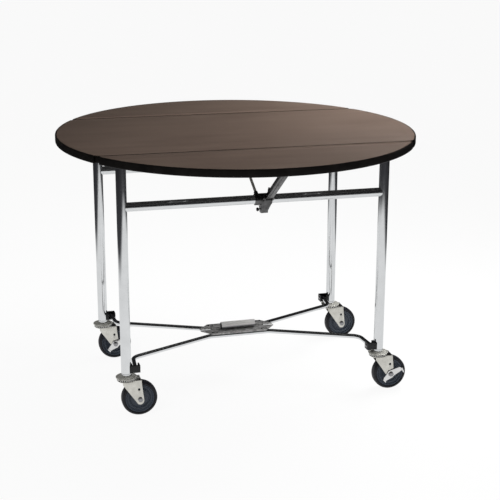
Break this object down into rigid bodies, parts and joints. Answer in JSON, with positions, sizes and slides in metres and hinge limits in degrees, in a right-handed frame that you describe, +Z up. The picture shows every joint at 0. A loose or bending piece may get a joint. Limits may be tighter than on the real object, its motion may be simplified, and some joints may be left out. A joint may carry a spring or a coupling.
{
  "type": "room service table",
  "caption": "Round drop-leaf serving table on a folding tubular frame with swivel casters, two of them braked.",
  "frame": {"origin": "on the floor, under the middle of the round top", "axes": "+Z up; X along the leaf seams and the rails; -Y the near side with the camera, +Y the far side"},
  "size_m": [1.045, 1.045, 0.762],
  "materials": {
    "laminate": "dark walnut laminate, satin",
    "edging": "black flexible edge moulding",
    "chrome": "bright chrome plate",
    "zinc": "zinc plated pressed steel",
    "bush": "black moulded nylon",
    "handle": "pale grip sleeve",
    "wheel_disc": "grey-blue moulded wheel centre",
    "tread": "dark rubber tread"
  },
  "bodies": {
    "near_frame": {"near_leg_left": "chrome", "near_leg_right": "chrome", "near_rail": "chrome", "near_bush_left": "bush", "near_bush_right": "bush", "near_left_race": "zinc", "near_right_race": "zinc"},
    "near_stretcher": {"near_stretcher": "chrome", "near_fold_plate": "zinc", "fold_pin": "zinc", "lift_handle": "handle"},
    "far_stretcher": {"far_stretcher": "chrome", "far_fold_plate": "zinc"},
    "far_frame": {"far_leg_left": "chrome", "far_leg_right": "chrome", "far_rail": "chrome", "far_bush_left": "bush", "far_bush_right": "bush", "far_left_race": "zinc", "far_right_race": "zinc", "far_support_hub": "chrome", "far_stay_rod": "chrome"},
    "centre_top": {"centre_leaf": "laminate", "edging_right": "edging", "edging_left": "edging", "near_hinge_fixed_left": "zinc", "near_hinge_fixed_right": "zinc", "far_hinge_fixed_left": "zinc", "far_hinge_fixed_right": "zinc", "near_support_hub": "chrome", "near_stay_rod": "chrome"},
    "near_leaf": {"near_leaf": "laminate", "edging_near": "edging", "near_hinge_moving_left": "zinc", "near_hinge_moving_right": "zinc", "near_wear_plate": "zinc"},
    "far_leaf": {"far_leaf": "laminate", "edging_far": "edging", "far_hinge_moving_left": "zinc", "far_hinge_moving_right": "zinc", "far_wear_plate": "zinc"},
    "near_prop": {"near_prop": "zinc"},
    "far_prop": {"far_prop": "zinc"},
    "near_knob": {"near_release_knob": "bush"},
    "far_knob": {"far_release_knob": "bush"},
    "near_left_fork": {"near_left_fork": "zinc"},
    "near_left_wheel": {"near_left_wheel": "wheel_disc", "near_left_tyre": "tread"},
    "near_right_fork": {"near_right_fork": "zinc"},
    "near_right_wheel": {"near_right_wheel": "wheel_disc", "near_right_tyre": "tread"},
    "near_right_brake": {"near_right_brake": "zinc"},
    "far_left_fork": {"far_left_fork": "zinc"},
    "far_left_wheel": {"far_left_wheel": "wheel_disc", "far_left_tyre": "tread"},
    "far_left_brake": {"far_left_brake": "zinc"},
    "far_right_fork": {"far_right_fork": "zinc"},
    "far_right_wheel": {"far_right_wheel": "wheel_disc", "far_right_tyre": "tread"}
  },
  "joints": [
    {"name": "fold", "type": "hinge", "parent": "near_frame", "child": "near_stretcher", "pos_m": [0, -0.228, 0.14], "axis": [1, 0, 0], "range_deg": [0, 60]},
    {"name": "fold_centre", "type": "hinge", "parent": "near_stretcher", "child": "far_stretcher", "pos_m": [0, 0, 0.15], "axis": [1, 0, 0], "range_deg": [-120.5, 0.5]},
    {"name": "fold_far", "type": "hinge", "parent": "far_stretcher", "child": "far_frame", "pos_m": [0, 0.228, 0.14], "axis": [1, 0, 0], "range_deg": [-0.5, 60.5]},
    {"name": "top_tilt", "type": "hinge", "parent": "near_frame", "child": "centre_top", "pos_m": [0, -0.228, 0.609], "axis": [1, 0, 0], "range_deg": [0, 90]},
    {"name": "near_leaf_drop", "type": "hinge", "parent": "centre_top", "child": "near_leaf", "pos_m": [0, -0.267, 0.7395], "axis": [-1, 0, 0], "range_deg": [-90, 0]},
    {"name": "far_leaf_drop", "type": "hinge", "parent": "centre_top", "child": "far_leaf", "pos_m": [0, 0.267, 0.7395], "axis": [1, 0, 0], "range_deg": [-90, 0]},
    {"name": "near_prop_swing", "type": "hinge", "parent": "centre_top", "child": "near_prop", "pos_m": [0.028, -0.252, 0.618], "axis": [-1, 0, 0], "range_deg": [-123.7, 0.1]},
    {"name": "far_prop_swing", "type": "hinge", "parent": "far_frame", "child": "far_prop", "pos_m": [-0.028, 0.252, 0.618], "axis": [1, 0, 0], "range_deg": [-123.7, 0.1]},
    {"name": "near_knob_pull", "type": "slide", "parent": "centre_top", "child": "near_knob", "axis": [-1, 0, 0], "range_m": [0, 0.006], "stiffness_N_per_m": 600},
    {"name": "far_knob_pull", "type": "slide", "parent": "far_frame", "child": "far_knob", "axis": [1, 0, 0], "range_m": [0, 0.006], "stiffness_N_per_m": 600},
    {"name": "near_left_swivel", "type": "hinge", "parent": "near_frame", "child": "near_left_fork", "pos_m": [-0.378, -0.228, 0.11], "axis": [0, 0, 1], "continuous": true},
    {"name": "near_left_roll", "type": "hinge", "parent": "near_left_fork", "child": "near_left_wheel", "pos_m": [-0.343, -0.228, 0.051], "axis": [0, 1, 0], "continuous": true},
    {"name": "near_right_swivel", "type": "hinge", "parent": "near_frame", "child": "near_right_fork", "pos_m": [0.378, -0.228, 0.11], "axis": [0, 0, 1], "continuous": true},
    {"name": "near_right_roll", "type": "hinge", "parent": "near_right_fork", "child": "near_right_wheel", "pos_m": [0.413, -0.228, 0.051], "axis": [0, 1, 0], "continuous": true},
    {"name": "near_right_brake_press", "type": "hinge", "parent": "near_right_fork", "child": "near_right_brake", "pos_m": [0.413, -0.228, 0.051], "axis": [0, 1, 0], "range_deg": [0, 18]},
    {"name": "far_left_swivel", "type": "hinge", "parent": "far_frame", "child": "far_left_fork", "pos_m": [-0.378, 0.228, 0.11], "axis": [0, 0, 1], "continuous": true},
    {"name": "far_left_roll", "type": "hinge", "parent": "far_left_fork", "child": "far_left_wheel", "pos_m": [-0.343, 0.228, 0.051], "axis": [0, 1, 0], "continuous": true},
    {"name": "far_left_brake_press", "type": "hinge", "parent": "far_left_fork", "child": "far_left_brake", "pos_m": [-0.343, 0.228, 0.051], "axis": [0, 1, 0], "range_deg": [0, 18]},
    {"name": "far_right_swivel", "type": "hinge", "parent": "far_frame", "child": "far_right_fork", "pos_m": [0.378, 0.228, 0.11], "axis": [0, 0, 1], "continuous": true},
    {"name": "far_right_roll", "type": "hinge", "parent": "far_right_fork", "child": "far_right_wheel", "pos_m": [0.413, 0.228, 0.051], "axis": [0, 1, 0], "continuous": true}
  ],
  "couplings": [
    {"joint": "fold_centre", "follows": "fold", "ratio": -2},
    {"joint": "fold_far", "follows": "fold", "ratio": 1},
    {"joint": "near_prop_swing", "follows": "near_leaf_drop", "ratio": 1.3733},
    {"joint": "far_prop_swing", "follows": "far_leaf_drop", "ratio": 1.3733}
  ]
}
